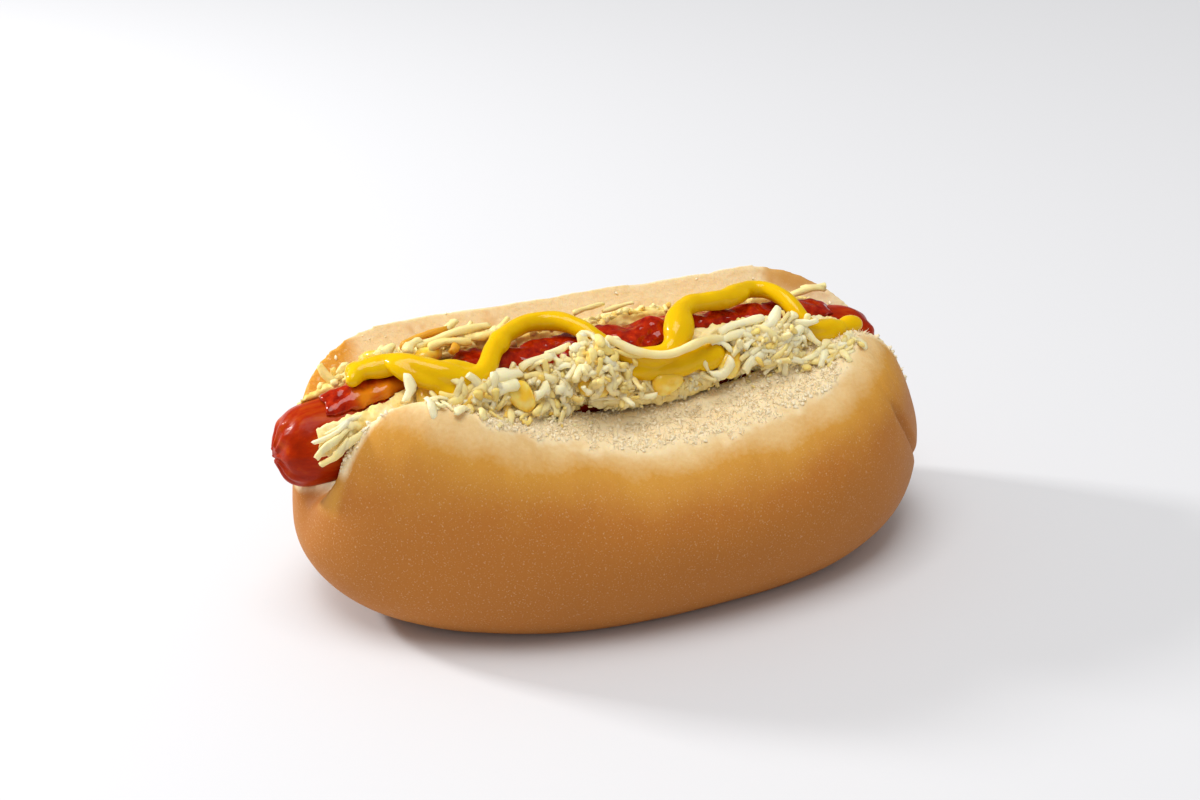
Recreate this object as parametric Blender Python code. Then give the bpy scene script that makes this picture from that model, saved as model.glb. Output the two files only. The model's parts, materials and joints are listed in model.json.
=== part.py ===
"""A hot dog: a soft bun torn open along its top, a sausage, ketchup, mustard, corn and shreds of cheese.

Metres, +Z up. X runs along the bun and the sausage, -Y is the lower, opened-out half of the bun,
and the origin is at the middle of the underside. Sizes below are in millimetres; MM turns them into metres.
Everything on the sausage is laid out round the sausage's own line: phi is the angle in degrees from
straight up, negative towards -Y, and rho is the distance from that line.
"""

import math

import bmesh
import bpy
from mathutils import Matrix, Vector, noise

MM = 0.001
GAP = 0.35  # room between neighbouring pieces

# Sausage
SAUSAGE_RADIUS = 9.5
SAUSAGE_LENGTH = 158.6
SAUSAGE_HEIGHT = 49.0  # of its middle line, halfway along
SAUSAGE_SAG = 4.6  # the ends hang this much lower
SAUSAGE_SIDES = 24

# Bun: each outline is a curve through (x, size)
BUN_LEFT, BUN_RIGHT = -74.5, 88.0
BUN_BELLY = 22.0  # height of the widest line
BUN_FRONT = [(-77, 40), (-50, 43), (5, 46), (55, 45), (90, 43)]  # half-width towards -Y
BUN_BACK = 32.0  # half-width towards +Y
BUN_SOLE = 32.0  # drop from the belly; past the belly's height it is cut flat
FRONT_CROWN = [(-77, 60), (-50, 63), (-38, 60), (-20, 49.5), (8, 44.5), (40, 48.5), (60, 57), (90, 66)]
BACK_CROWN = [(-76, 81), (-55, 78), (-30, 74.5), (0, 73), (45, 73.5), (62, 75.5), (88, 78)]
BUN_POWER = 2.3  # of each ring's superellipse: 2 is an ellipse, more is squarer
BUN_RINGS = 38
BUN_RING_POINTS = 34

# How blunt the bun's left and right ends are in each outline: 2 is round, more is blunter
FRONT_ENDS, BACK_ENDS = (2.1, 3.2), (6.5, 5.5)
FRONT_CROWN_ENDS, BACK_CROWN_ENDS = (9.0, 7.0), (8.5, 7.5)
SOLE_ENDS = (2.3, 3.0)

# The crease round the right end, where the front half was folded open
FOLD_HEIGHT, FOLD_REACH, FOLD_DEPTH = 36.0, 3.5, 0.07

# The torn face: the channel under the sausage, and the crumb's two edges on the -Y half
CHANNEL_RADIUS = 10.5
CHANNEL_END_DROP = 8.0  # the channel is this much deeper where it runs out at the ends
LIP_OUTER_Y = -17.0
LIP_INNER_Y = -11.8
LIP_OUTER = [(-80, 64), (-53, 62), (-46, 58.5), (-39, 56), (-30, 51.5), (-20, 47), (-5, 43), (8, 41.5),
             (22, 42.3), (38, 44.5), (50, 47.5), (60, 51.5), (72, 56), (88, 64)]
LIP_INNER = [(-80, 64), (-55, 60), (-44, 56.8), (-32, 53.5), (-22, 50.5), (-10, 48.5), (8, 47), (20, 48.5),
             (38, 51.5), (60, 56), (72, 58.5), (88, 64)]
TEAR_ACROSS = [-62, -40, -28, -20, -17, -14, -11.8, -11, -10.5, -9.6, -8, -5.5, -2.5, 0,
               2.5, 5.5, 8, 9.6, 10.5, 12.5, 14.5, 17, 20, 23.5, 28, 34]

# Ketchup: edges as phi along x, and its thickness
KETCHUP_LEFT, KETCHUP_RIGHT = -67.0, 66.0
KETCHUP_FRONT = [(-67, -38), (-56, -34), (-46, -20), (-34, -18), (-24, -36), (12, -38), (26, -24), (66, -26)]
KETCHUP_BACK = 26.0
KETCHUP_DEPTH = 2.4

# Mustard: the bead's route as (x, phi, rho, radius), chosen by hand
MUSTARD_ROUTE = [
    (-60, -10, 14.2, 1.6), (-57, 0, 14.6, 2.0), (-52, 1, 15.2, 2.1), (-46, -20, 16.6, 2.3),
    (-40, -36, 16.8, 2.6), (-34, -45, 15.8, 2.7), (-30, -38, 15.2, 2.4), (-27, -20, 15.2, 2.1),
    (-22, -2, 15.5, 2.1), (-15, 13, 15.8, 2.1), (-9, 11, 15.6, 2.1), (-4.5, -8, 15.2, 2.1),
    (-1, -30, 14.6, 2.0), (4, -46, 14.3, 2.1), (9.5, -55, 14.6, 2.3), (15, -54, 14.8, 2.5),
    (18, -42, 15.2, 2.7), (21.5, -16, 15.5, 2.7), (27, -3, 15.6, 2.2), (34, -3, 15.6, 2.0),
    (41, 8, 15.8, 2.1), (46, 16, 15.8, 2.1), (49.5, 4, 15.5, 2.1), (51.5, -20, 15.2, 2.0),
    (53, -44, 15.0, 1.9), (56, -51, 15.0, 1.9), (62, -46, 14.8, 1.7),
]
MUSTARD_SIDES = 8

# Pale strand of cheese over the front
STRAND_ROUTE = [(0, -36), (6, -51), (13, -57), (19, -54), (25, -49), (32, -50)]
STRAND_RADIUS = 0.95
PRESS_MARGIN = 1.3  # how far past a topping's edge the surface under it stays pressed down
THINNEST = 0.35

# Corn kernels: (x, phi, rho, turn), with turn about the outward direction
KERNELS = [(-52, 30, 15.5, 20), (-43, -46, 12.4, 80), (-40, 14, 13.6, 130), (-23, -68, 14.2, 30),
           (-5, -72, 14.2, 60), (14, -82, 14.0, 100), (31, -72, 13.6, 150)]
KERNEL_LONG, KERNEL_WIDE, KERNEL_THICK = 7.4, 5.8, 3.8

# Heaps of cheese and potato sticks either side: their outer rho and their lower edge's phi along x
HEAP_LEFT, HEAP_RIGHT = -70.0, 66.0
HEAP_RINGS = 40
FRONT_HEAP = [(-70, 11.8), (-60, 12.5), (-50, 13), (-36, 13), (-22, 14), (-12, 14.5), (-6, 16), (0, 15),
              (10, 13.5), (24, 13.5), (36, 15), (46, 16), (52, 15), (60, 13.5), (66, 12)]
BACK_HEAP = [(-70, 11.5), (-56, 13), (-46, 15.5), (-30, 15.5), (-20, 14.5), (5, 14), (15, 15), (30, 14),
             (45, 14), (56, 15), (66, 12)]
FRONT_HEAP_FOOT = [(-70, -80), (-30, -84), (-10, -97), (8, -100), (24, -97), (44, -86), (66, -80)]
BACK_HEAP_FOOT = [(-70, 80), (66, 80)]


def clear_scene():
    for obj in list(bpy.data.objects):
        bpy.data.objects.remove(obj)


def finish_material(name, colour, roughness):
    made = bpy.data.materials.new(name)
    made.use_nodes = True
    shader = made.node_tree.nodes["Principled BSDF"]
    shader.inputs["Base Color"].default_value = (*colour, 1.0)
    shader.inputs["Roughness"].default_value = roughness
    shader.inputs["Metallic"].default_value = 0.0
    return made


def loft(name, rings, material):
    """One closed body through rings of points in millimetres, with a flat face at each end."""
    mesh = bmesh.new()
    made = [[mesh.verts.new(Vector(p) * MM) for p in ring] for ring in rings]
    sides = len(rings[0])
    for near, far in zip(made, made[1:]):
        for i in range(sides):
            j = (i + 1) % sides
            mesh.faces.new((near[i], near[j], far[j], far[i]))
    mesh.faces.new(made[0][::-1])
    mesh.faces.new(made[-1])
    bmesh.ops.recalc_face_normals(mesh, faces=mesh.faces)
    data = bpy.data.meshes.new(name)
    mesh.to_mesh(data)
    mesh.free()
    data.shade_smooth()
    data.materials.append(material)
    obj = bpy.data.objects.new(name, data)
    bpy.context.scene.collection.objects.link(obj)
    return obj


def smooth_step(low, high, value):
    t = min(max((value - low) / (high - low), 0.0), 1.0)
    return t * t * (3 - 2 * t)


def curve(points, at):
    """A smooth curve through points (place, value, ...), as the tuple of values at a place."""
    place = min(max(at, points[0][0]), points[-1][0])
    last = len(points) - 2
    i = next((k for k in range(last) if place <= points[k + 1][0]), last)
    left, right = points[i], points[i + 1]
    before, after = points[max(i - 1, 0)], points[min(i + 2, len(points) - 1)]
    span = right[0] - left[0]
    t = (place - left[0]) / span
    values = []
    for a, p, q, b in zip(before[1:], left[1:], right[1:], after[1:]):
        leave = (q - a) / (right[0] - before[0]) * span
        arrive = (b - p) / (after[0] - left[0]) * span
        values.append((2 * t ** 3 - 3 * t ** 2 + 1) * p + (t ** 3 - 2 * t ** 2 + t) * leave
                      + (3 * t ** 2 - 2 * t ** 3) * q + (t ** 3 - t ** 2) * arrive)
    return tuple(values)


def size_at(points, x):
    return curve(points, x)[0]


def wave(x, y, z, scale, seed):
    return noise.noise(Vector((x, y, z)) / scale + Vector((seed, 2.3 * seed, -seed)))


def line_height(x):
    return SAUSAGE_HEIGHT - SAUSAGE_SAG * (x / (SAUSAGE_LENGTH / 2)) ** 2


def place(x, phi, rho):
    """The point at (x, phi, rho) round the sausage's line."""
    angle = math.radians(phi)
    return Vector((x, rho * math.sin(angle), line_height(x) + rho * math.cos(angle)))


# The bun -------------------------------------------------------------------------------------------

def superellipse(angle, power):
    c, s = math.cos(angle), math.sin(angle)
    return (math.copysign(abs(c) ** (2 / power), c), math.copysign(abs(s) ** (2 / power), s))


def closing(x, ends):
    """1 in the middle of the bun, falling to 0 at its two ends."""
    middle = (BUN_LEFT + BUN_RIGHT) / 2
    share = (x - middle) / (BUN_RIGHT - middle)
    bluntness = ends[0] if share < 0 else ends[1]
    return (1 - min(abs(share), 1.0) ** bluntness) ** 0.5


def end_fold(x, z):
    """The share by which the crease draws the front in."""
    return FOLD_DEPTH * smooth_step(58, 82, x) * math.exp(-((z - FOLD_HEIGHT) / FOLD_REACH) ** 2)


def loaf_ring(x):
    """The uncut loaf's outline at x, its underside cut flat at z = 0."""
    front = size_at(BUN_FRONT, x) * closing(x, FRONT_ENDS)
    back = BUN_BACK * closing(x, BACK_ENDS)
    front_crown = size_at(FRONT_CROWN, x) * closing(x, FRONT_CROWN_ENDS)
    back_crown = size_at(BACK_CROWN, x) * closing(x, BACK_CROWN_ENDS)
    drop = closing(x, SOLE_ENDS)
    least_rise = 8 * drop
    ring = []
    for i in range(BUN_RING_POINTS):
        across, up = superellipse(2 * math.pi * i / BUN_RING_POINTS, BUN_POWER)
        rise = max((back_crown if across > 0 else front_crown) - BUN_BELLY, least_rise)
        z = BUN_BELLY + up * (rise if up > 0 else drop * BUN_SOLE)
        y = across * (back if across > 0 else front * (1 - end_fold(x, z)))
        ring.append((x, y, max(z, 0.0)))
    return ring


def straight(points, at):
    """The value at a place, on straight lines through (place, value) pairs."""
    i = next(k for k in range(len(points) - 1) if at <= points[k + 1][0])
    (low, first), (high, last) = points[i], points[i + 1]
    return first + (last - first) * (at - low) / (high - low)


def tear_height(x, y):
    """How high the torn face stands at (x, y): a lip towards -Y, a channel, and a tall wall towards +Y."""
    line = line_height(x)
    if abs(y) < CHANNEL_RADIUS:
        deeper = CHANNEL_END_DROP * smooth_step(0.72, 0.98, abs(x) / (SAUSAGE_LENGTH / 2))
        wall = line - math.sqrt(CHANNEL_RADIUS ** 2 - y ** 2) - deeper * (1 - abs(y) / CHANNEL_RADIUS)
    elif y < 0:
        wall = straight([(-62, line + 99), (-12.4, line + 12), (-CHANNEL_RADIUS, line)], y)
    else:
        wall = straight([(CHANNEL_RADIUS, line), (14.5, line + 5), (20, line + 11), (25, line + 18),
                         (34, line + 36)], y)
    if y > 0:
        return wall
    outer, inner = size_at(LIP_OUTER, x), size_at(LIP_INNER, x)
    return min(wall, straight([(-62, outer), (LIP_OUTER_Y, outer), (LIP_INNER_Y, inner), (0, inner)], y))


def tear_cutter():
    rings = []
    first, last, steps = BUN_LEFT - 10, BUN_RIGHT + 10, 26
    for i in range(steps + 1):
        x = first + (last - first) * i / steps
        profile = [(x, y, tear_height(x, y)) for y in TEAR_ACROSS]
        rings.append(profile + [(x, TEAR_ACROSS[-1], 100), (x, TEAR_ACROSS[0], 100)])
    cutter = loft("tear", rings, None)
    cutter.hide_render = True
    cutter.display_type = "WIRE"
    return cutter


def make_bun():
    crust = finish_material("crust", (0.62, 0.33, 0.10), 0.55)
    middle, half = (BUN_LEFT + BUN_RIGHT) / 2, (BUN_RIGHT - BUN_LEFT) / 2
    places = [middle - half * math.cos(math.pi * i / BUN_RINGS) for i in range(1, BUN_RINGS)]
    bun = loft("bun", [loaf_ring(x) for x in places], crust)
    cut = bun.modifiers.new("tear open", "BOOLEAN")
    cut.operation = "DIFFERENCE"
    cut.object = tear_cutter()


# The sausage ---------------------------------------------------------------------------------------

def make_sausage():
    skin = finish_material("sausage skin", (0.55, 0.10, 0.02), 0.25)
    half = SAUSAGE_LENGTH / 2
    body = half - SAUSAGE_RADIUS
    tip = [-half + SAUSAGE_RADIUS * (1 - math.cos(t * math.pi / 12)) for t in range(1, 6)]
    places = tip + [-body + 2 * body * i / 18 for i in range(19)] + [-x for x in reversed(tip)]
    rings = []
    for x in places:
        past = max(abs(x) - body, 0.0)
        radius = math.sqrt(SAUSAGE_RADIUS ** 2 - past ** 2)
        rings.append([place(x, 360 * i / SAUSAGE_SIDES, radius) for i in range(SAUSAGE_SIDES)])
    loft("sausage", rings, skin)


# Mustard, strand and kernels -----------------------------------------------------------------------

def route_points(route, spacing):
    """Points (x, phi, ...) at an even spacing along a smooth curve through a route's own points."""
    numbered = [(float(i), *point) for i, point in enumerate(route)]
    fine = [curve(numbered, i / 12) for i in range(12 * (len(route) - 1) + 1)]
    kept, travelled = [fine[0]], 0.0
    for a, b in zip(fine, fine[1:]):
        travelled += (place(b[0], b[1], 15) - place(a[0], a[1], 15)).length
        if travelled >= spacing:
            kept.append(b)
            travelled = 0.0
    return kept


def tube_rings(points, sides):
    """Round rings across a path of (centre, radius), with small rings closing its two ends."""
    centres = [centre for centre, _ in points]
    rings = []
    for i, (centre, radius) in enumerate(points):
        forward = (centres[min(i + 1, len(points) - 1)] - centres[max(i - 1, 0)]).normalized()
        outward = Vector((0.0, centre.y, centre.z - line_height(centre.x)))
        aside = forward.cross(outward).normalized()
        up = aside.cross(forward)
        turned = [2 * math.pi * k / sides for k in range(sides)]
        section = [aside * math.cos(a) + up * math.sin(a) for a in turned]
        for end, way in ((0, -1), (len(points) - 1, 1)):
            if i == end:
                cap = [centre + forward * way * radius * 0.6 + s * radius * 0.55 for s in section]
        ring = [centre + s * radius for s in section]
        rings += [cap, ring] if i == 0 else [ring, cap] if i == len(points) - 1 else [ring]
    return rings


def mustard_points():
    return route_points(MUSTARD_ROUTE, 3.0)


def make_mustard():
    yellow = finish_material("mustard", (0.72, 0.36, 0.01), 0.3)
    points = [(place(x, phi, rho), radius) for x, phi, rho, radius in mustard_points()]
    loft("mustard", tube_rings(points, MUSTARD_SIDES), yellow)


def strand_points():
    """The strand's (x, phi, rho): it lies over the mustard where the two cross."""
    found = []
    for x, phi in route_points(STRAND_ROUTE, 2.4):
        here = place(x, phi, 15)
        rho = 15.0
        for mx, mphi, mrho, radius in mustard_points():
            near = (place(mx, mphi, 15) - here).length
            lift = mrho + radius + STRAND_RADIUS + GAP - 0.5 * max(near - radius, 0.0)
            rho = max(rho, lift)
        found.append((x, phi, rho))
    return found


def make_strand():
    cheese = finish_material("cheese strand", (0.80, 0.56, 0.24), 0.4)
    points = [(place(*at), STRAND_RADIUS) for at in strand_points()]
    loft("cheese_strand", tube_rings(points, 6), cheese)


def make_kernel(number, x, phi, rho, turn):
    """A corn kernel: a rounded wedge, broad at one end, lying flat on what is under it."""
    rings = []
    for u, share in ((-0.5, 0.35), (-0.36, 0.72), (-0.1, 0.92), (0.18, 1.0), (0.38, 0.8), (0.5, 0.42)):
        ring = []
        for i in range(8):
            across, up = superellipse(2 * math.pi * (i + 0.5) / 8, 2.6)
            wide = KERNEL_WIDE / 2 * share * (1.0 + 0.25 * u)
            ring.append(Vector((KERNEL_LONG * u, across * wide, up * KERNEL_THICK / 2 * share)))
        rings.append(ring)
    outward = (place(x, phi, 1) - place(x, phi, 0)).normalized()
    pose = Matrix.Translation(place(x, phi, rho)) @ outward.to_track_quat("Z", "X").to_matrix().to_4x4()
    pose = pose @ Matrix.Rotation(math.radians(turn), 4, "Z")
    corn = finish_material(f"corn {number}", (0.85, 0.52, 0.04), 0.35)
    loft(f"corn_kernel_{number}", [[pose @ p for p in ring] for ring in rings], corn)


# Ketchup and heaps ---------------------------------------------------------------------------------

def things_on_top():
    """(x, phi, half-width, lowest rho) of what presses into the ketchup and the heaps."""
    found = [(x, phi, radius, rho - radius) for x, phi, rho, radius in mustard_points()]
    found += [(x, phi, STRAND_RADIUS, rho - STRAND_RADIUS) for x, phi, rho in strand_points()]
    found += [(x, phi, KERNEL_LONG / 2, rho - KERNEL_THICK / 2) for x, phi, rho, _ in KERNELS]
    return found


def pressed(x, phi, rho, loads):
    """A surface's rho, lowered where something lies on it."""
    for load_x, load_phi, half, lowest in loads:
        arc = math.radians(phi - load_phi) * lowest
        beyond = max(math.hypot(x - load_x, arc) - half - PRESS_MARGIN, 0.0)
        rho = min(rho, lowest - 1.4 * GAP + 1.2 * beyond)
    return rho


def room_in_bun(x, phi):
    """The largest rho that stays twice the gap clear of the torn face."""
    rho, step = SAUSAGE_RADIUS, 0.1
    while rho < 2 * SAUSAGE_RADIUS:
        ahead = place(x, phi, rho + step)
        slope = (tear_height(x, ahead.y + step) - tear_height(x, ahead.y - step)) / (2 * step)
        if (ahead.z - tear_height(x, ahead.y)) / math.hypot(1, slope) < 2 * GAP:
            break
        rho += step
    return rho


def banked_ring(x, low_phi, high_phi, outer_rho, outer_steps, inner_steps):
    """A ring over the sausage: an outer side from low_phi to high_phi and an inner side back."""
    ring = []
    for i in range(outer_steps + 1):
        phi = low_phi + (high_phi - low_phi) * i / outer_steps
        ring.append(place(x, phi, outer_rho(phi, i / outer_steps)))
    for i in range(inner_steps + 1):
        phi = high_phi + (low_phi - high_phi) * i / inner_steps
        ring.append(place(x, phi, SAUSAGE_RADIUS + GAP))
    return ring


def make_ketchup(loads):
    red = finish_material("ketchup", (0.35, 0.02, 0.01), 0.15)
    rings, count = [], 38
    for n in range(count + 1):
        x = KETCHUP_LEFT + (KETCHUP_RIGHT - KETCHUP_LEFT) * n / count
        end = min(n, count - n) / 2
        full = min(end + 0.25, 1.0)

        def outer(phi, share, x=x, full=full):
            dome = (4 * share * (1 - share)) ** 0.5
            depth = KETCHUP_DEPTH * (0.25 + 0.75 * dome) * (1 + 0.5 * wave(x, phi * 0.2, 0, 7, 3))
            rho = SAUSAGE_RADIUS + GAP + depth * full
            return max(pressed(x, phi, rho, loads), SAUSAGE_RADIUS + GAP + THINNEST)

        shrink = 10 * (1 - full)
        low = size_at(KETCHUP_FRONT, x) + 3 * wave(x, 0, 0, 6, 4) + shrink
        rings.append(banked_ring(x, low, KETCHUP_BACK - shrink, outer, 10, 5))
    loft("ketchup", rings, red)


def make_heap(name, profile, foot, side, loads, seed):
    """A bank of shreds and sticks between the sausage and the torn face; side is -1 in front, 1 behind."""
    filling = finish_material(name.replace("_", " "), (0.82, 0.62, 0.30), 0.6)
    rings = []
    for n in range(HEAP_RINGS + 1):
        x = HEAP_LEFT + (HEAP_RIGHT - HEAP_LEFT) * n / HEAP_RINGS
        top = size_at(KETCHUP_FRONT, x) - 6.5 if side < 0 else KETCHUP_BACK + 3.5
        full = min(min(n, HEAP_RINGS - n) / 2 + 0.2, 1.0)

        def outer(phi, share, x=x, full=full):
            shape = 0.55 + 0.45 * math.sin(math.pi * min(share * 0.8 + 0.1, 0.9))
            free = SAUSAGE_RADIUS + (size_at(profile, x) - SAUSAGE_RADIUS) * shape * full
            free += 0.9 * full * wave(x, phi * 0.2, 0, 4, seed)
            rho = min(pressed(x, phi, free, loads), room_in_bun(x, phi))
            return max(rho, SAUSAGE_RADIUS + GAP + THINNEST)

        low, high = sorted((top, size_at(foot, x)))
        rings.append(banked_ring(x, low, high, outer, 9, 5))
    loft(name, rings, filling)


def centre_on_origin():
    """Moves everything so that the origin is at the middle of the underside."""
    bpy.context.view_layer.update()
    graph = bpy.context.evaluated_depsgraph_get()
    corners = []
    for obj in bpy.data.objects:
        if not obj.hide_render:
            corners += [Vector(corner) for corner in obj.evaluated_get(graph).bound_box]
    low = [min(c[axis] for c in corners) for axis in range(3)]
    high = [max(c[axis] for c in corners) for axis in range(3)]
    shift = Matrix.Translation((-(low[0] + high[0]) / 2, -(low[1] + high[1]) / 2, -low[2]))
    for obj in bpy.data.objects:
        obj.data.transform(shift)


clear_scene()
make_bun()
make_sausage()
make_mustard()
make_strand()
for index, kernel in enumerate(KERNELS, start=1):
    make_kernel(index, *kernel)
toppings = things_on_top()
make_ketchup(toppings)
make_heap("front_heap", FRONT_HEAP, FRONT_HEAP_FOOT, -1, toppings, 11)
make_heap("back_heap", BACK_HEAP, BACK_HEAP_FOOT, 1, toppings, 17)
centre_on_origin()
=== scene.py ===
"""Hot dog: the looks of a torn-open bun, its sausage, sauces, corn, grated cheese and potato sticks.

Run as a script in Blender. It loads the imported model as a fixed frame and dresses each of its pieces.
Lengths named in millimetres are turned into metres by MM. What lies on the sausage is laid out round the
sausage's own line: x along it from its middle, phi in degrees from straight up and negative towards the
front, and rho out from the line.
"""

import json
import math
import random

import bpy
import numpy as np
from mathutils import Matrix, Vector, noise
from mathutils.bvhtree import BVHTree

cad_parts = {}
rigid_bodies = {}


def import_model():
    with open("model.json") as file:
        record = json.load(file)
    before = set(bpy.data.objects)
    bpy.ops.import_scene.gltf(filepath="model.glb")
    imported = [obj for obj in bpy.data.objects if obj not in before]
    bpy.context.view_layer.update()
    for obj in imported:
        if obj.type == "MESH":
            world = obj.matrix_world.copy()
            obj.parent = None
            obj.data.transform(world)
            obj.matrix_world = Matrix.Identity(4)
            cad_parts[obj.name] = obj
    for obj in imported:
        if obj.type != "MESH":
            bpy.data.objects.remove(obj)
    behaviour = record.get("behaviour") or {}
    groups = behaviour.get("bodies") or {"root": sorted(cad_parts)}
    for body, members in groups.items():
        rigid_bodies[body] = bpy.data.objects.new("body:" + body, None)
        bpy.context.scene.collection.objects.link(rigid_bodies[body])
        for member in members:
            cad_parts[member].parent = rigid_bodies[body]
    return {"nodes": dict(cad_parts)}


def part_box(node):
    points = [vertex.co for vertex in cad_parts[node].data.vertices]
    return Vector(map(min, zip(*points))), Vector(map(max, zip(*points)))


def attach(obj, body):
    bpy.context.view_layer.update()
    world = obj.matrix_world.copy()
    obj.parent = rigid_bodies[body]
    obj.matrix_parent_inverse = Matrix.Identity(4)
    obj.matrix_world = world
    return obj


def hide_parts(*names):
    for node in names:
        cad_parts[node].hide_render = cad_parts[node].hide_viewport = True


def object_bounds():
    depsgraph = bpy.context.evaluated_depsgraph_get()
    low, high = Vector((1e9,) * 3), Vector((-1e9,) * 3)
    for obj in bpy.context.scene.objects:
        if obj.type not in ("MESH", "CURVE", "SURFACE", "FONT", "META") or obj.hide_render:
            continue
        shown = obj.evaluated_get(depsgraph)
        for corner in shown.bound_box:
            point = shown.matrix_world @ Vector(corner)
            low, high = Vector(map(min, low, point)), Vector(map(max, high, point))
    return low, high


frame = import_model()
cad_low, cad_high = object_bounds()

bl_info = {
    "name": "Hot Dog",
    "version": (1, 0, 0),
    "blender": (4, 5, 0),
    "location": "3D Viewport > Sidebar > Hot Dog",
    "description": "Dresses a packed hot dog: bun, sausage, sauces, corn, cheese and potato sticks",
    "category": "Object",
}

MM = 0.001

# The sausage's line, from its box
SAUSAGE_LOW, SAUSAGE_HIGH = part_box("sausage")
SAUSAGE_MIDDLE = (SAUSAGE_LOW + SAUSAGE_HIGH) / 2 / MM
SAUSAGE_RADIUS = (SAUSAGE_HIGH.y - SAUSAGE_LOW.y) / 2 / MM
SAUSAGE_HALF = (SAUSAGE_HIGH.x - SAUSAGE_LOW.x) / 2 / MM
SAUSAGE_HEIGHT = SAUSAGE_HIGH.z / MM - SAUSAGE_RADIUS
SAUSAGE_SAG = 4.6  # how much lower the line's ends hang

# Where the torn crumb meets the crust: its height along the front, and how far back it lies at each height
# over the line. BACK_RIM is only the height that the back's browning is reckoned from, above the real rim.
FRONT_RIM = [(-80, 64), (-53, 62), (-46, 58.5), (-39, 56), (-30, 51.5), (-20, 47), (-5, 43), (8, 41.5),
             (22, 42.3), (38, 44.5), (50, 47.5), (60, 51.5), (72, 56), (88, 64)]
BACK_RIM = [(-76, 81), (-55, 78), (-30, 74.5), (0, 73), (45, 73.5), (62, 75.5), (88, 78)]
BACK_WALL = [(-12, 9.0), (0, 10.5), (5, 14.5), (11, 20), (18, 25), (36, 34)]  # (over the line, y)
BED_FOOT = (-14.5, -12.5)  # where the torn channel ends below the line, from crust to crumb


def tone(red, green, blue):
    """A colour given as everyday 0-255 values, as the linear values of Blender's colour sockets."""
    return tuple(((v / 255 + 0.055) / 1.055) ** 2.4 if v > 10 else v / 255 / 12.92
                 for v in (red, green, blue))


# Layout round the sausage ---------------------------------------------------------------------------

def line_height(x):
    return SAUSAGE_HEIGHT - SAUSAGE_SAG * (x / SAUSAGE_HALF) ** 2


def around(x, phi, rho):
    """The point in metres at (x, phi, rho) round the sausage's line."""
    angle = math.radians(phi)
    across, up = rho * math.sin(angle), rho * math.cos(angle)
    return Vector((x + SAUSAGE_MIDDLE.x, across + SAUSAGE_MIDDLE.y, line_height(x) + up)) * MM


def outward_at(phi):
    angle = math.radians(phi)
    return Vector((0.0, math.sin(angle), math.cos(angle)))


def pose_at(x, phi, rho, turn=0.0):
    """A pose on the line's outer side: X along the sausage and Z outward, then turned about Z by degrees."""
    outward = outward_at(phi)
    along_line = Vector((1.0, 0.0, 0.0))
    axes = Matrix((along_line, outward.cross(along_line), outward)).transposed().to_4x4()
    return Matrix.Translation(around(x, phi, rho)) @ axes @ Matrix.Rotation(math.radians(turn), 4, "Z")


def layout_of(points):
    """Points in metres as x, y and z in millimetres from the sausage's middle; z stays the height."""
    x, y, z = (points / MM).T
    return x - SAUSAGE_MIDDLE.x, y - SAUSAGE_MIDDLE.y, z


def ease(low, high, value):
    """0 below low, 1 above high and smooth between, for numbers and arrays."""
    share = np.clip((value - low) / (high - low), 0.0, 1.0)
    return share * share * (3 - 2 * share)


def along(pairs, x):
    """The value at x on straight lines through (place, value) pairs."""
    places, values = zip(*pairs)
    return np.interp(x, places, values)


def waves(points, size, seed, stretch=(1.0, 1.0, 1.0)):
    """Smooth noise from -1 to 1 at each point in metres; size and stretch set its grain in millimetres."""
    scaled = points / (MM * size * np.array(stretch)) + np.array((seed, 1.7 * seed, -seed))
    return np.array([noise.noise(Vector(p)) for p in scaled])


# Meshes ---------------------------------------------------------------------------------------------

def select_only(obj):
    bpy.ops.object.select_all(action="DESELECT")
    obj.select_set(True)
    bpy.context.view_layer.objects.active = obj


def link_mesh(name, mesh):
    obj = bpy.data.objects.new(name, mesh)
    bpy.context.scene.collection.objects.link(obj)
    return obj


def copy_of_node(node, name):
    """A copy of a CAD node as a piece of its own, with its loose triangles merged."""
    mesh = frame["nodes"][node].data.copy()
    mesh.materials.clear()
    obj = link_mesh(name, mesh)
    select_only(obj)
    bpy.ops.mesh.customdata_custom_splitnormals_clear()
    bpy.ops.object.mode_set(mode="EDIT")
    bpy.ops.mesh.select_all(action="SELECT")
    bpy.ops.mesh.remove_doubles(threshold=0.01 * MM)
    bpy.ops.object.mode_set(mode="OBJECT")
    return obj


def modify(obj, kind, **settings):
    """Adds a modifier and applies it."""
    modifier = obj.modifiers.new(kind, kind)
    for name, value in settings.items():
        setattr(modifier, name, value)
    select_only(obj)
    bpy.ops.object.modifier_apply(modifier=modifier.name)


def remesh(obj, size):
    modify(obj, "REMESH", mode="VOXEL", voxel_size=size * MM)


def smooth(obj, times, group=""):
    modify(obj, "SMOOTH", factor=0.5, iterations=times, vertex_group=group)


def relief(obj, kind, size, height, group="", **settings):
    """Raises and sinks a piece's surface by a texture; size and height are in millimetres."""
    texture = bpy.data.textures.new(f"{obj.name} {kind}", kind)
    texture.noise_scale = size * MM
    for name, value in settings.items():
        setattr(texture, name, value)
    modify(obj, "DISPLACE", texture=texture, texture_coords="LOCAL", strength=height * MM, mid_level=0.5,
           vertex_group=group)


def points_of(obj):
    flat = np.empty(len(obj.data.vertices) * 3, np.float32)
    obj.data.vertices.foreach_get("co", flat)
    return flat.reshape(-1, 3).astype(float)


def normals_of(obj):
    flat = np.empty(len(obj.data.vertices) * 3, np.float32)
    obj.data.vertex_normals.foreach_get("vector", flat)
    return flat.reshape(-1, 3).astype(float)


def set_points(obj, points):
    obj.data.vertices.foreach_set("co", points.astype(np.float32).ravel())
    obj.data.update()


def push(obj, heights):
    """Moves each vertex along its normal by so many millimetres."""
    set_points(obj, points_of(obj) + normals_of(obj) * heights[:, None] * MM)


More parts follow.
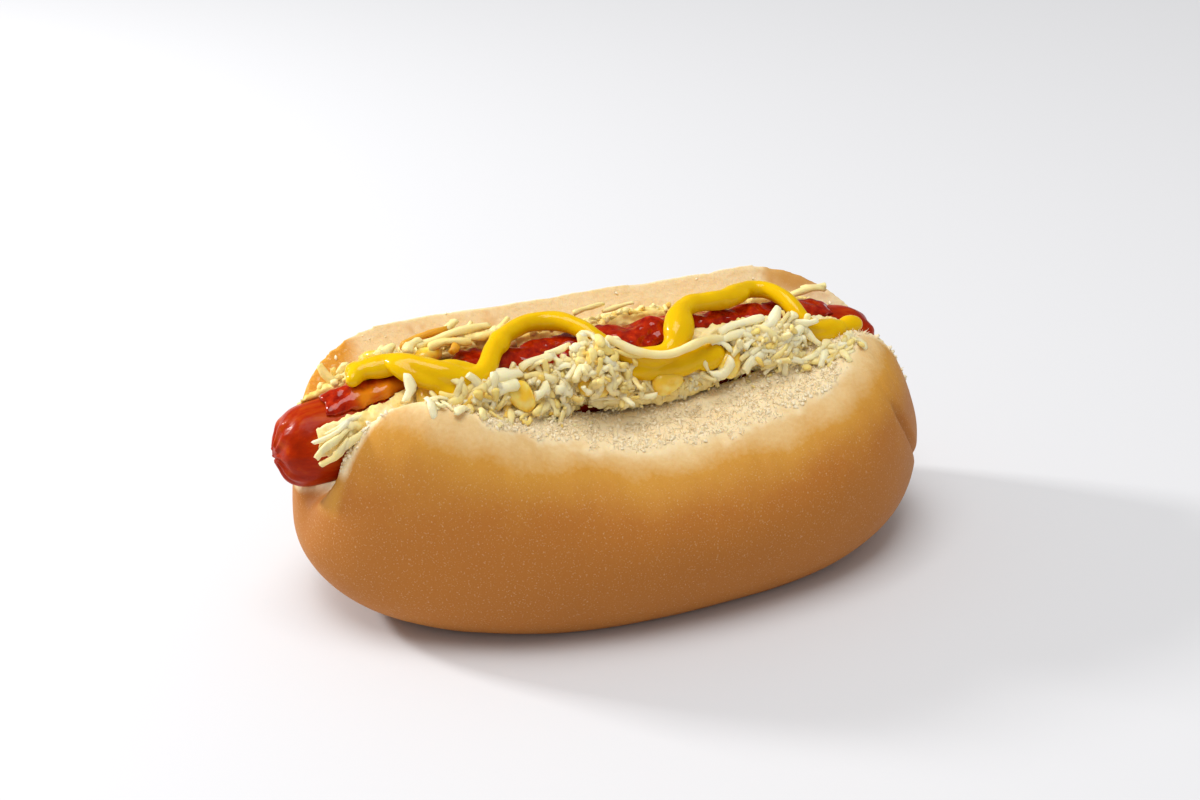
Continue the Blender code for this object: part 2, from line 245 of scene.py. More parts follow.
def weigh(obj, name, weights):
    """A vertex group with a weight for each vertex."""
    group = obj.vertex_groups.get(name) or obj.vertex_groups.new(name=name)
    for index, weight in enumerate(weights):
        group.add([index], float(weight), "REPLACE")


def paint(obj, name, values):
    """An attribute with a number for each vertex, for the piece's material."""
    attribute = obj.data.attributes.get(name) or obj.data.attributes.new(name, "FLOAT", "POINT")
    attribute.data.foreach_set("value", np.asarray(values, np.float32))


def subdivide_where(obj, wanted):
    """Cuts each face in four where the (vertex) mask says so."""
    select_only(obj)
    mesh = obj.data
    for face in mesh.polygons:
        face.select = bool(wanted[list(face.vertices)].all())
    for edge in mesh.edges:
        edge.select = False
    for vertex in mesh.vertices:
        vertex.select = False
    bpy.context.tool_settings.mesh_select_mode = (False, False, True)
    bpy.ops.object.mode_set(mode="EDIT")
    bpy.ops.mesh.subdivide(number_cuts=1, smoothness=0.0)
    bpy.ops.object.mode_set(mode="OBJECT")


def finish_piece(obj, finish, slot, *nodes):
    """Keeps a piece inside the CAD's box, gives it its material and body, and hides the CAD nodes it
    stands for. The slot argument is not used."""
    set_points(obj, np.clip(points_of(obj), cad_low, cad_high))
    obj.data.materials.clear()
    obj.data.materials.append(finish.material)
    obj.vertex_groups.clear()
    obj.data.shade_smooth()
    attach(obj, "root")
    if nodes:
        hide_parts(*nodes)


# Small things, each modelled once and copied --------------------------------------------------------

def shape_from(obj):
    """A modelled object's points and faces; the object itself is removed."""
    mesh = obj.data
    points = np.array([v.co for v in mesh.vertices])
    faces = [tuple(face.vertices) for face in mesh.polygons]
    bpy.data.objects.remove(obj)
    bpy.data.meshes.remove(mesh)
    return points, faces


def rough_up(obj, amount, seed, reaches=(1.0, 1.0, 1.0)):
    """Moves each vertex a little, so that no two shapes look cut alike."""
    chance = random.Random(seed)
    for vertex in obj.data.vertices:
        vertex.co += Vector([chance.uniform(-amount, amount) * reach for reach in reaches])


def shred_shape(seed, blunt=0.62):
    """A grated shred one unit long and one across: a bar with bevelled long edges, uneven sides and narrower
    ends."""
    bpy.ops.mesh.primitive_cube_add(size=1.0)
    bar = bpy.context.object
    bpy.context.tool_settings.mesh_select_mode = (False, True, False)
    for part in (bar.data.vertices, bar.data.polygons):
        part.foreach_set("select", [False] * len(part))
    for edge in bar.data.edges:
        start, end = (bar.data.vertices[i].co for i in edge.vertices)
        edge.select = abs(end.x - start.x) > 0.5
    bpy.ops.object.mode_set(mode="EDIT")
    bpy.ops.mesh.bevel(offset=0.27, segments=1, affect="EDGES")
    for cut in (-0.46, -0.3, -0.1, 0.1, 0.3, 0.46):
        bpy.ops.mesh.select_all(action="SELECT")
        bpy.ops.mesh.bisect(plane_co=(cut, 0, 0), plane_no=(1, 0, 0))
    bpy.ops.object.mode_set(mode="OBJECT")
    chance = random.Random(seed)
    sway = [chance.uniform(0, 6.28) for _ in range(4)]
    taper, bend = chance.uniform(-0.4, 0.4), chance.uniform(0.1, 0.5)
    for vertex in bar.data.vertices:
        x, y, z = vertex.co
        end = (blunt if abs(x) > 0.49 else 0.94 if abs(x) > 0.4 else 1.0) * (1 + taper * x)
        vertex.co.y = y * end * (1 + 0.2 * math.sin(9 * x + sway[0])) + bend * math.sin(5 * x + sway[2])
        vertex.co.z = z * end * (1 + 0.2 * math.sin(8 * x + sway[1])) + 0.15 * math.sin(5 * x + sway[3])
    rough_up(bar, 0.08, seed, (0.2, 1.0, 1.0))
    return shape_from(bar)


def crumb_shape(seed, uneven=0.22):
    """A crumb one unit across."""
    bpy.ops.mesh.primitive_ico_sphere_add(subdivisions=1, radius=0.5)
    crumb = bpy.context.object
    rough_up(crumb, uneven, seed)
    return shape_from(crumb)


def fibre_shape(seed):
    """A tapering three-sided wisp of crumb one unit long and one across at its foot."""
    bpy.ops.mesh.primitive_cone_add(vertices=3, radius1=0.5, radius2=0.12, depth=1.0,
                                    location=(0, 0, 0), rotation=(0, math.pi / 2, 0))
    wisp = bpy.context.object
    bpy.ops.object.transform_apply(location=True, rotation=True, scale=True)
    for step in (0.25, 0.5, 0.75):
        bpy.ops.object.mode_set(mode="EDIT")
        bpy.ops.mesh.select_all(action="SELECT")
        bpy.ops.mesh.bisect(plane_co=(step - 0.5, 0, 0), plane_no=(1, 0, 0))
        bpy.ops.object.mode_set(mode="OBJECT")
    rough_up(wisp, 0.1, seed)
    return shape_from(wisp)


class Heap:
    """Many small things joined into one mesh."""

    def __init__(self, shapes):
        self.shapes = shapes
        self.points, self.faces, self.shades = [], [], []
        self.count = 0

    def add(self, kind, at, forward, up, size, bow=0.0, shade=0.5):
        """A copy of a shape at a point, its length along forward; size is its length, width and thickness
        in mm."""
        points, faces = self.shapes[kind % len(self.shapes)]
        forward = Vector(forward).normalized()
        aside = Vector(up).cross(forward).normalized()
        above = forward.cross(aside)
        length, width, thickness = (s * MM for s in size)
        x, y, z = points.T
        drop = bow * length * (4 * x * x - 0.33)
        made = (np.outer(x * length, forward) + np.outer(y * width, aside)
                + np.outer(z * thickness - drop, above) + np.array(at))
        self.faces += [tuple(i + self.count for i in face) for face in faces]
        self.points.append(made)
        self.shades.append(np.full(len(points), shade))
        self.count += len(points)

    def build(self, name):
        mesh = bpy.data.meshes.new(name)
        mesh.from_pydata(np.concatenate(self.points).tolist(), [], self.faces)
        obj = link_mesh(name, mesh)
        paint(obj, "shade", np.concatenate(self.shades))
        return obj


def surface_of(*objects):
    """A search tree over several pieces' surfaces."""
    points, faces = [], []
    for obj in objects:
        first = len(points)
        points += [v.co.copy() for v in obj.data.vertices]
        faces += [[i + first for i in face.vertices] for face in obj.data.polygons]
    return BVHTree.FromPolygons(points, faces)


def drop_on(tree, x, phi, start=21.0):
    """Where a ray from outside towards the line meets a surface: (point, normal), or None."""
    begin = around(x, phi, start)
    way = -outward_at(phi)
    point, normal, _, _ = tree.ray_cast(begin, way, start * MM)
    return None if point is None or normal.dot(way) > 0 else (point, normal)


# Materials ------------------------------------------------------------------------------------------

class Value:
    """A shader socket that takes part in sums."""

    def __init__(self, finish, socket):
        self.finish, self.socket = finish, socket

    def sum_with(self, operation, first, second):
        return self.finish.node("ShaderNodeMath", {"operation": operation}, {0: first, 1: second})

    def __add__(self, other):
        return self.sum_with("ADD", self, other)

    def __radd__(self, other):
        return self.sum_with("ADD", other, self)

    def __sub__(self, other):
        return self.sum_with("SUBTRACT", self, other)

    def __rsub__(self, other):
        return self.sum_with("SUBTRACT", other, self)

    def __mul__(self, other):
        return self.sum_with("MULTIPLY", self, other)

    def __rmul__(self, other):
        return self.sum_with("MULTIPLY", other, self)


class Finish:
    """A material under construction."""

    def __init__(self, name, **constants):
        self.material = bpy.data.materials.new(name)
        self.material.use_nodes = True
        self.tree = self.material.node_tree
        self.shader = self.tree.nodes["Principled BSDF"]
        for socket, value in constants.items():
            self.shader.inputs[socket.replace("_", " ")].default_value = value
        self.place = self.node("ShaderNodeTexCoord", output="Object")

    def node(self, kind, settings=None, inputs=None, output=0):
        made = self.tree.nodes.new(kind)
        for name, value in (settings or {}).items():
            if name == "stops":
                ramp = made.color_ramp
                while len(ramp.elements) < len(value):
                    ramp.elements.new(0.5)
                for element, (position, colour) in zip(ramp.elements, value):
                    element.position = position
                    element.color = (*colour, 1.0)
            else:
                setattr(made, name, value)
        for name, value in (inputs or {}).items():
            self.feed(made.inputs[name], value)
        return Value(self, made.outputs[output])

    def feed(self, socket, value):
        if isinstance(value, Value):
            self.tree.links.new(value.socket, socket)
        elif isinstance(value, tuple) and socket.type == "RGBA":
            socket.default_value = (*value, 1.0)
        else:
            socket.default_value = value

    def set(self, **inputs):
        for name, value in inputs.items():
            self.feed(self.shader.inputs[name.replace("_", " ")], value)

    def read(self, attribute):
        return self.node("ShaderNodeAttribute", {"attribute_name": attribute}, output="Fac")

    def grain(self, size, detail=2.0, roughness=0.5, stretch=(1.0, 1.0, 1.0)):
        """Noise from 0 to 1 with features of so many millimetres."""
        scale = tuple(1 / s for s in stretch)
        place = self.node("ShaderNodeMapping", inputs={"Vector": self.place, "Scale": scale})
        return self.node("ShaderNodeTexNoise", inputs={
            "Vector": place, "Scale": 1 / (size * MM), "Detail": detail, "Roughness": roughness})

    def cells(self, size):
        return self.node("ShaderNodeTexVoronoi", inputs={"Vector": self.place, "Scale": 1 / (size * MM)},
                         output="Distance")

    def step(self, low, high, value):
        """0 below low, 1 above high and smooth between."""
        return self.node("ShaderNodeMapRange", {"interpolation_type": "SMOOTHSTEP"},
                         {"Value": value, "From Min": low, "From Max": high})

    def blend(self, factor, first, second):
        return self.node("ShaderNodeMix", {"data_type": "RGBA"}, {0: factor, 6: first, 7: second}, output=2)

    def ramp(self, factor, stops):
        return self.node("ShaderNodeValToRGB", {"stops": stops}, {"Fac": factor}, output="Color")

    def bump(self, height, depth, strength=1.0):
        """A fine relief so many millimetres deep."""
        return self.node("ShaderNodeBump", inputs={"Height": height, "Distance": depth * MM,
                                                   "Strength": strength}, output="Normal")


def colour_setting(name, description, default):
    return bpy.props.FloatVectorProperty(name=name, description=description, subtype="COLOR", size=3,
                                         min=0.0, max=1.0, default=default)


def length_setting(name, description, default):
    return bpy.props.FloatProperty(name=name, description=description, default=default * MM, min=0.0,
                                   unit="LENGTH")


def bread_finish(bun):
    """Crust that browns away from the torn rim, and the pale crumb of the torn faces."""
    made = Finish("bun_bread", Subsurface_Weight=0.25, Subsurface_Radius=(1.0, 0.7, 0.35),
                  Subsurface_Scale=0.0025, Specular_IOR_Level=0.12)
    torn, bake, stain = made.read("torn"), made.read("bake"), made.read("stain")
    mottle = made.grain(11, 3.0)
    fine = made.grain(1.1, 4.0, 0.6)
    level = bake + (mottle - 0.5) * 0.22 + (fine - 0.5) * 0.12
    crust = made.ramp(level, [
        (0.0, tuple(bun.rim_colour)), (0.3, tuple(bun.golden_colour)), (0.62, tuple(bun.crust_colour)),
        (1.0, tuple(bun.dark_colour))])
    specks = made.step(0.58, 0.74, made.grain(0.42, 2.0)) * made.step(0.15, 0.5, bake)
    crust = made.blend(specks * 0.3, crust, tuple(bun.rim_colour))
    # Painted shade: in the pores the crumb is darkened towards its hollows' tone. Elsewhere that tone only
    # varies the crumb at random.
    pores = made.step(0.28, 0.02, made.cells(2.1))
    crumb = made.blend(made.grain(4, 3.0), tuple(bun.crumb_colour), tuple(bun.crumb_shade))
    crumb = made.blend(pores * 0.35, crumb, tuple(bun.crumb_shade))
    bread = made.blend(torn, crust, crumb)
    # The bread is blended towards the gold colour where the painted attribute says: a golden patch at the
    # rear-left end, and painted shade (a darker, warmer tint) over the rear torn crumb.
    made.set(Base_Color=made.blend(stain * made.step(0.15, 0.5, fine), bread, tuple(bun.gold_and_shade_colour)))
    made.set(Roughness=0.52 + torn * 0.36 + (fine - 0.5) * 0.16)
    small = made.grain(0.35, 2.0)
    crumb_height = made.grain(0.9, 4.0, 0.7) * 0.7 + made.cells(1.6) * 0.5
    crust_height = fine * 0.25 + small * 0.14 + specks * 0.1
    height = crust_height + torn * (crumb_height - crust_height)
    made.set(Normal=made.bump(height, 0.5, 0.8))
    return made


def sausage_finish(sausage):
    made = Finish("sausage_skin", Subsurface_Weight=0.1, Subsurface_Radius=(1.0, 0.25, 0.08),
                  Subsurface_Scale=0.002, Coat_Weight=0.07, Coat_Roughness=0.08, Specular_IOR_Level=0.05)
    broad, streaks = made.grain(9, 3.0), made.grain(2.6, 3.0, 0.6, (5.0, 1.0, 1.0))
    tint = made.ramp(broad * 0.6 + streaks * 0.5, [
        (0.25, tuple(sausage.dark_colour)), (0.55, tuple(sausage.skin_colour)),
        (0.8, tuple(sausage.light_colour))])
    made.set(Base_Color=tint, Roughness=0.2 + made.grain(3, 3.0) * 0.22)
    made.set(Normal=made.bump(made.grain(1.2, 3.0, 0.6, (3.0, 1.0, 1.0)), 0.25, 0.5))
    return made


def ketchup_finish(sauces):
    made = Finish("ketchup", Subsurface_Weight=0.12, Subsurface_Radius=(1.0, 0.15, 0.05),
                  Subsurface_Scale=0.0012, Coat_Weight=0.6, Coat_Roughness=0.03, Specular_IOR_Level=0.05)
    pulp = made.grain(1.8, 4.0, 0.6)
    red = made.ramp(pulp, [(0.3, tuple(sauces.ketchup_dark)), (0.62, tuple(sauces.ketchup_colour)),
                           (0.8, tuple(sauces.ketchup_light))])
    made.set(Base_Color=made.blend(made.read("thin") * 0.75, red, tuple(sauces.thin_colour)))
    made.set(Roughness=0.07 + pulp * 0.1)
    made.set(Normal=made.bump(pulp, 0.3, 0.25))
    return made


def mustard_finish(sauces):
    made = Finish("mustard", Subsurface_Weight=0.2, Subsurface_Radius=(1.0, 0.6, 0.08),
                  Subsurface_Scale=0.0015, Coat_Weight=0.4, Coat_Roughness=0.04, Specular_IOR_Level=0.05)
    drift = made.grain(5, 3.0)
    made.set(Base_Color=made.blend(drift, tuple(sauces.mustard_deep), tuple(sauces.mustard_colour)))
    made.set(Roughness=0.22 + made.grain(2.2, 2.0) * 0.14)
    made.set(Normal=made.bump(made.grain(1.5, 3.0), 0.18, 0.4))
    return made


def shred_finish(name, light, deep, gold, roughness=0.42, depth=0.3, sheen=0.15):
    """Shreds, sticks or crumbs, each with a tint of its own; depth is how far light goes in, and sheen how
    greasy they are."""
    made = Finish(name, Subsurface_Weight=depth, Subsurface_Radius=(1.0, 0.75, 0.35), Subsurface_Scale=0.0018,
                  Coat_Weight=sheen, Coat_Roughness=0.25, Specular_IOR_Level=2 * sheen)
    shade = made.read("shade")
    tint = made.ramp(shade + (made.grain(2.5, 3.0) - 0.5) * 0.35, [(0.1, light), (0.62, deep), (0.95, gold)])
    made.set(Base_Color=tint, Roughness=roughness + made.grain(1.2, 2.0) * 0.2)
    made.set(Normal=made.bump(made.grain(0.5, 3.0, 0.6), 0.2, 0.6))
    return made


def corn_finish(corn):
    made = Finish("corn", Subsurface_Weight=0.35, Subsurface_Radius=(1.0, 0.6, 0.1), Subsurface_Scale=0.002,
                  Coat_Weight=0.5, Coat_Roughness=0.12, Specular_IOR_Level=0.5)
    made.set(Base_Color=made.blend(made.step(0.35, 0.7, made.grain(3, 2.0)), tuple(corn.skin_colour),
                                   tuple(corn.pale_colour)))
    made.set(Roughness=0.22 + made.grain(2, 2.0) * 0.2, Normal=made.bump(made.grain(0.9, 2.0), 0.15, 0.4))
    return made


# Settings -------------------------------------------------------------------------------------------

class BunSettings(bpy.types.PropertyGroup):
    grain: length_setting("Mesh grain", "Width of the faces of the crust", 0.95)
    crumb_depth: length_setting("Crumb depth", "How deep the torn crumb's hollows are", 0.42)
    rim_colour: colour_setting("Rim", "Palest crust, beside the tear", tone(246, 222, 170))
    golden_colour: colour_setting("Golden crust", "Crust between the rim and the brown", tone(212, 152, 62))
    crust_colour: colour_setting("Brown crust", "Most of the crust", tone(190, 120, 50))
    dark_colour: colour_setting("Dark crust", "The best-baked patches", tone(182, 114, 50))
    crumb_colour: colour_setting("Crumb", "Torn inside", tone(255, 240, 206))
    # The hollows' tone: random variation of the crumb, and painted shade in its pores.
    crumb_shade: colour_setting("Crumb hollows", "Torn inside, in its pores", tone(252, 222, 166))
    # The golden patch's colour, also used as painted shade on the rear torn crumb.
    gold_and_shade_colour: colour_setting("Gold and painted shade", "Golden patch at the rear left, and painted shade on the rear crumb", tone(224, 150, 14))


class SausageSettings(bpy.types.PropertyGroup):
    pucker: length_setting("Pucker", "Depth of the wrinkles at the tips", 0.55)
    skin_colour: colour_setting("Skin", "Most of the skin", tone(168, 40, 2))
    light_colour: colour_setting("Light skin", "Paler streaks", tone(200, 88, 14))
    dark_colour: colour_setting("Dark skin", "Darker streaks", tone(118, 20, 4))


class SauceSettings(bpy.types.PropertyGroup):
    ketchup_lumps: length_setting("Ketchup lumps", "How uneven the ketchup lies", 1.0)
    ketchup_colour: colour_setting("Ketchup", "Most of the ketchup", tone(184, 42, 4))
    ketchup_light: colour_setting("Pale ketchup", "Its lighter pulp", tone(216, 84, 10))
    thin_colour: colour_setting("Thin ketchup", "Where it is smeared over mustard", tone(240, 150, 20))
    ketchup_dark: colour_setting("Deep ketchup", "Where it lies thick", tone(128, 10, 2))
    mustard_colour: colour_setting("Mustard", "Most of the mustard", tone(240, 198, 2))
    mustard_deep: colour_setting("Deep mustard", "Its darker swirls", tone(226, 172, 1))


class CheeseSettings(bpy.types.PropertyGroup):
    shreds: bpy.props.IntProperty(name="Shreds", description="Loose shreds over the front heap", default=640,
                                  min=0)
    length: length_setting("Shred length", "Usual length of a shred", 7.0)
    width: length_setting("Shred width", "Usual width of a shred", 1.5)
    light_colour: colour_setting("Pale cheese", "Freshly grated", tone(255, 242, 196))
    deep_colour: colour_setting("Cream cheese", "Most shreds", tone(255, 222, 128))
    gold_colour: colour_setting("Golden cheese", "Shreds wet with sauce", tone(248, 192, 56))


class PotatoSettings(bpy.types.PropertyGroup):
    sticks: bpy.props.IntProperty(name="Sticks", description="Loose sticks over the back heap", default=150,
                                  min=0)
    length: length_setting("Stick length", "Usual length of a stick", 8.0)
    width: length_setting("Stick width", "Usual width of a stick", 1.8)
    light_colour: colour_setting("Pale stick", "Least fried", tone(252, 230, 160))
    deep_colour: colour_setting("Golden stick", "Most sticks", tone(244, 206, 104))
    gold_colour: colour_setting("Brown stick", "Most fried", tone(222, 156, 26))


class CornSettings(bpy.types.PropertyGroup):
    dent: length_setting("Dent", "Depth of the dimple in a kernel's crown", 0.5)
    skin_colour: colour_setting("Kernel", "Most of a kernel", tone(252, 200, 44))
    pale_colour: colour_setting("Pale kernel", "Its lighter patches", tone(255, 226, 120))


class StageSettings(bpy.types.PropertyGroup):
    turn: bpy.props.FloatProperty(name="Turn", description="How far round the camera stands", subtype="ANGLE",
                                  default=math.radians(-24))
    rise: bpy.props.FloatProperty(name="Rise", description="The camera's height as an angle", subtype="ANGLE",
                                  default=math.radians(26))
    distance: length_setting("Distance", "From the camera to what it looks at", 456)
    lens: bpy.props.FloatProperty(name="Lens", description="Focal length in mm", default=55.57, min=1.0)
    floor_colour: colour_setting("Floor", "The plain floor", (0.735, 0.735, 0.75))
    key_power: bpy.props.FloatProperty(name="Key light", description="Its power in watts", default=4.8)
    overhead_power: bpy.props.FloatProperty(name="Overhead light", description="Its power in watts",
                                            default=108.0)
    sky: bpy.props.FloatProperty(name="Sky", description="Brightness of the room", default=0.43)


# The bun --------------------------------------------------------------------------------------------

def torn_share(points):
    """1 on the torn crumb and 0 on crust, with a ragged line between."""
    x, y, z = layout_of(points)
    line = line_height(x)
    ragged = 1.1 * waves(points, 5.0, 3) + 0.6 * waves(points, 1.8, 4)
    lip = ease(-1.6, 0.0, z - along(FRONT_RIM, x) + ragged)
    inner = ease(14.2, 12.6, np.abs(y)) * ease(*BED_FOOT, z - line)
    inner *= np.maximum(ease(-64, -58, x), ease(-5, -2, z - line))
    back = ease(1.6, 0.2, y - along(BACK_WALL, z - line) + ragged) * ease(*BED_FOOT, z - line)
    back *= 1 - 0.9 * ease(56, 64, x + 5 * waves(points, 4, 6)) * ease(52, 55, z) * ease(13, 15, y)
    return np.maximum(np.where(y < 0, lip, back), inner)


def bake_share(points):
    """How brown the crust is, from 0 beside the tear to 1 on the belly."""
    x, y, z = layout_of(points)
    rim = np.where(y < 0, along(FRONT_RIM, x), along(BACK_RIM, x) - 4)
    brown = 0.38 * rim + 15.5 + 2.5 * waves(points, 16, 7)
    share = (rim - z) / (rim - brown)
    cheek = ease(-63, -68, x) * ease(15, 12, np.abs(y)) * ease(-16, -9, z - line_height(x))
    return (0.62 * ease(-0.3, 1.15, share) + 0.25 * ease(1.0, 2.6, share)) * (1 - 0.5 * cheek)


def wrinkle_heights(points, torn):
    """Soft upright wrinkles under the front rim, and the crease round the right end."""
    x, y, z = layout_of(points)
    below = along(FRONT_RIM, x) - z
    band = ease(-1, 3, below) * ease(26, 6, below) * (y < 0)
    wrinkles = waves(points, 3.4, 12, (1.0, 4.0, 6.0)) + 0.6 * waves(points, 1.6, 13, (1.0, 4.0, 5.0))
    crease_line = 39 - 1.5 * (x - 69)
    crease = np.exp(-((z - crease_line) / 1.6) ** 2) * ease(64, 71, x) * ease(-14, -22, y)
    return (0.28 * wrinkles * band - 1.6 * crease) * (1 - torn)


class HOTDOG_OT_bun(bpy.types.Operator):
    """Bun with a smooth crust and a torn, open crumb"""

    bl_idname = "hotdog.bun"
    bl_label = "Bun"

    def execute(self, context):
        bun = context.scene.hotdog_bun
        loaf = copy_of_node("bun", "bun_loaf")
        remesh(loaf, bun.grain / MM)
        weigh(loaf, "crust", 1 - torn_share(points_of(loaf)))
        smooth(loaf, 45, "crust")
        smooth(loaf, 3)
        subdivide_where(loaf, torn_share(points_of(loaf)) > 0.5)
        points = points_of(loaf)
        torn = torn_share(points)
        push(loaf, 0.7 * waves(points, 22, 5) * (1 - torn) + wrinkle_heights(points, torn))
        weigh(loaf, "torn side", torn * (0.35 + 0.65 * ease(8, 2, layout_of(points)[1])))
        depth = bun.crumb_depth / MM
        relief(loaf, "CLOUDS", 4.5, 1.3 * depth, "torn side", noise_depth=1)
        relief(loaf, "VORONOI", 2.4, -0.8 * depth, "torn side", distance_metric="DISTANCE")
        relief(loaf, "CLOUDS", 0.8, 0.7 * depth, "torn side", noise_depth=3)
        paint(loaf, "torn", torn)
        paint(loaf, "bake", bake_share(points))
        x, y, z = layout_of(points)
        # A golden patch on the rear torn face at the left end, and painted shade: a darker, warmer tint over
        # all the rear torn crumb.
        rear_left_gold = ease(-48, -60, x) * ease(2, 6, y) * ease(32, 25, y) * ease(40, 50, z)
        painted_rear_shade = 0.14 * ease(4, 9, y) * torn
        paint(loaf, "stain", np.clip(np.maximum(rear_left_gold * (1.5 + 0.6 * waves(points, 5, 9)), painted_rear_shade), 0, 0.9))
        finish_piece(loaf, bread_finish(bun), "bun_bread", "bun")
        return {"FINISHED"}


# The sausage ----------------------------------------------------------------------------------------

class HOTDOG_OT_sausage(bpy.types.Operator):
    """Sausage with puckered tips"""

    bl_idname = "hotdog.sausage"
    bl_label = "Sausage"

    def execute(self, context):
        sausage = context.scene.hotdog_sausage
        skin = copy_of_node("sausage", "sausage_skin")
        modify(skin, "SUBSURF", levels=2, render_levels=2)
        points = points_of(skin)
        x, y, z = layout_of(points)
        past = np.abs(x) - SAUSAGE_HALF
        angle = np.arctan2(y, z - line_height(x))
        folds = np.cos(9 * angle + 2.5 * waves(points, 5, 21)) * ease(-6.5, -1.5, past)
        dimple = np.exp(-((past + 0.2) / 1.6) ** 2)
        heights = 0.25 + sausage.pucker / MM * (0.5 * folds - 1.6 * dimple)
        push(skin, heights + 0.16 * waves(points, 6, 22) + 0.12 * waves(points, 2.2, 23, (3, 1, 1)))
        finish_piece(skin, sausage_finish(sausage), "sausage_skin", "sausage")
        return {"FINISHED"}


# Sauces ---------------------------------------------------------------------------------------------

def add_blob(x, phi, rho, size, turn=0.0):
    """A flattened drop of sauce lying on what is under it; size is (along, across, thick) in mm."""
    bpy.ops.mesh.primitive_uv_sphere_add(segments=20, ring_count=12, radius=0.5)
    blob = bpy.context.object
    blob.data.transform(Matrix.Diagonal((*(s * MM for s in size), 1.0)))
    blob.data.transform(pose_at(x, phi, rho, turn))
    return blob


def join(base, others):
    select_only(base)
    for other in others:
        other.select_set(True)
    bpy.ops.object.join()


class HOTDOG_OT_ketchup(bpy.types.Operator):
    """Ketchup, lumpy and wet"""

    bl_idname = "hotdog.ketchup"
    bl_label = "Ketchup"

    def execute(self, context):
        sauces = context.scene.hotdog_sauces
        ketchup = copy_of_node("ketchup", "ketchup_sauce")
        remesh(ketchup, 0.55)
        smooth(ketchup, 3)
        lumps = sauces.ketchup_lumps / MM
        relief(ketchup, "CLOUDS", 4.8, 2.0 * lumps, noise_depth=1)
        relief(ketchup, "CLOUDS", 2.2, 0.35 * lumps, noise_depth=0)
        points = points_of(ketchup)
        x, y, _ = layout_of(points)
        spread = ease(-44, -50, x + 3 * waves(points, 6, 33)) * ease(-62, -57, x) * ease(-1.5, -4.5, y)
        paint(ketchup, "thin", np.clip(spread * (0.9 + 0.6 * waves(points, 2.5, 34)), 0, 1))
        finish_piece(ketchup, ketchup_finish(sauces), "ketchup", "ketchup")
        return {"FINISHED"}


# Where the mustard spreads wide: (x, phi, rho, (along, across, thick), turn)
MUSTARD_PUDDLES = [
    (-44, -27, 15.6, (18, 8.0, 4.4), -34), (-37, -44, 15.2, (15, 11.0, 4.4), -30),
    (-33, -55, 14.4, (9, 6.0, 3.6), 10),
    (-53, -2, 14.8, (12, 5.4, 4.2), -8), (-57, 6, 14.2, (6, 6.0, 4.0), 0), (18, -64, 13.7, (17, 6.5, 4.0), 6),
    (9, -66, 13.4, (10, 5, 3.4), -10), (26, -64, 13.4, (8, 6, 3.6), 20), (58, -52, 14.2, (13, 5.6, 3.8), -3),
    (19.5, -32, 15.4, (7.0, 13, 5.4), -24), (66, -48, 13.6, (7, 4.6, 3.0), 0),
    (36, 1, 15.0, (15, 4.8, 4.2), 8), (-24, -8, 15.2, (7, 4.8, 4.2), 60),
]


class HOTDOG_OT_mustard(bpy.types.Operator):
    """Mustard in one winding bead, with puddles"""

    bl_idname = "hotdog.mustard"
    bl_label = "Mustard"

    def execute(self, context):
        sauces = context.scene.hotdog_sauces
        bead = copy_of_node("mustard", "mustard_bead")
        modify(bead, "SUBSURF", levels=1, render_levels=1)
        join(bead, [add_blob(*puddle) for puddle in MUSTARD_PUDDLES])
        remesh(bead, 0.42)
        smooth(bead, 14)
        push(bead, 0.38 + 0.3 * waves(points_of(bead), 5, 31))
        finish_piece(bead, mustard_finish(sauces), "mustard", "mustard")
        return {"FINISHED"}


# Corn -----------------------------------------------------------------------------------------------

KERNEL_COUNT = 7


class HOTDOG_OT_corn(bpy.types.Operator):
    """Corn kernels, each dented in its crown"""

    bl_idname = "hotdog.corn"
    bl_label = "Corn"

    def execute(self, context):
        corn = context.scene.hotdog_corn
        finish = corn_finish(corn)
        for number in range(1, KERNEL_COUNT + 1):
            node = f"corn_kernel_{number}"
            kernel = copy_of_node(node, f"corn_{number}")
            modify(kernel, "SUBSURF", levels=2, render_levels=2)
            points = points_of(kernel)
            spread = points - points.mean(0)
            _, _, axes = np.linalg.svd(spread, full_matrices=False)
            length, width, _ = (spread @ axes.T / MM).T
            dimple = np.exp(-((length - 1.2) / 1.5) ** 2 - (width / 1.2) ** 2)
            push(kernel, 0.25 - corn.dent / MM * dimple + 0.15 * waves(points, 2.5, 40 + number))
            finish_piece(kernel, finish, "corn", node)
        return {"FINISHED"}


# Cheese ---------------------------------------------------------------------------------------------

class HOTDOG_OT_cheese_strand(bpy.types.Operator):
    """The long strand of melted cheese across the front"""

    bl_idname = "hotdog.cheese_strand"
    bl_label = "Cheese strand"

    def execute(self, context):
        cheese = context.scene.hotdog_cheese
        strand = copy_of_node("cheese_strand", "melted_strand")
        modify(strand, "SUBSURF", levels=2, render_levels=2)
        push(strand, 0.22 + 0.2 * waves(points_of(strand), 3.5, 51))
        paint(strand, "shade", 0.35 + 0.2 * waves(points_of(strand), 6, 52))
        finish = shred_finish("cheese strand", tuple(cheese.light_colour), tuple(cheese.deep_colour),
                               tuple(cheese.gold_colour))
        finish_piece(strand, finish, "cheese", "cheese_strand")
        return {"FINISHED"}


def heap_core(node, name, swell, seed, mounds=()):
    """A heap's inside: a copy of its outline, its thin edges swelled by so many mm, with mounds as blobs
    and relief finer than its shreds."""
    core = copy_of_node(node, name)
    push(core, np.full(len(core.data.vertices), swell))
    join(core, [add_blob(*mound) for mound in mounds])
    remesh(core, 0.5)
    smooth(core, 2)
    relief(core, "CLOUDS", 1.4, 1.5, noise_depth=2)
    relief(core, "VORONOI", 1.6, -0.8)
    paint(core, "shade", 0.4 + 0.3 * waves(points_of(core), 5, seed))
    return core


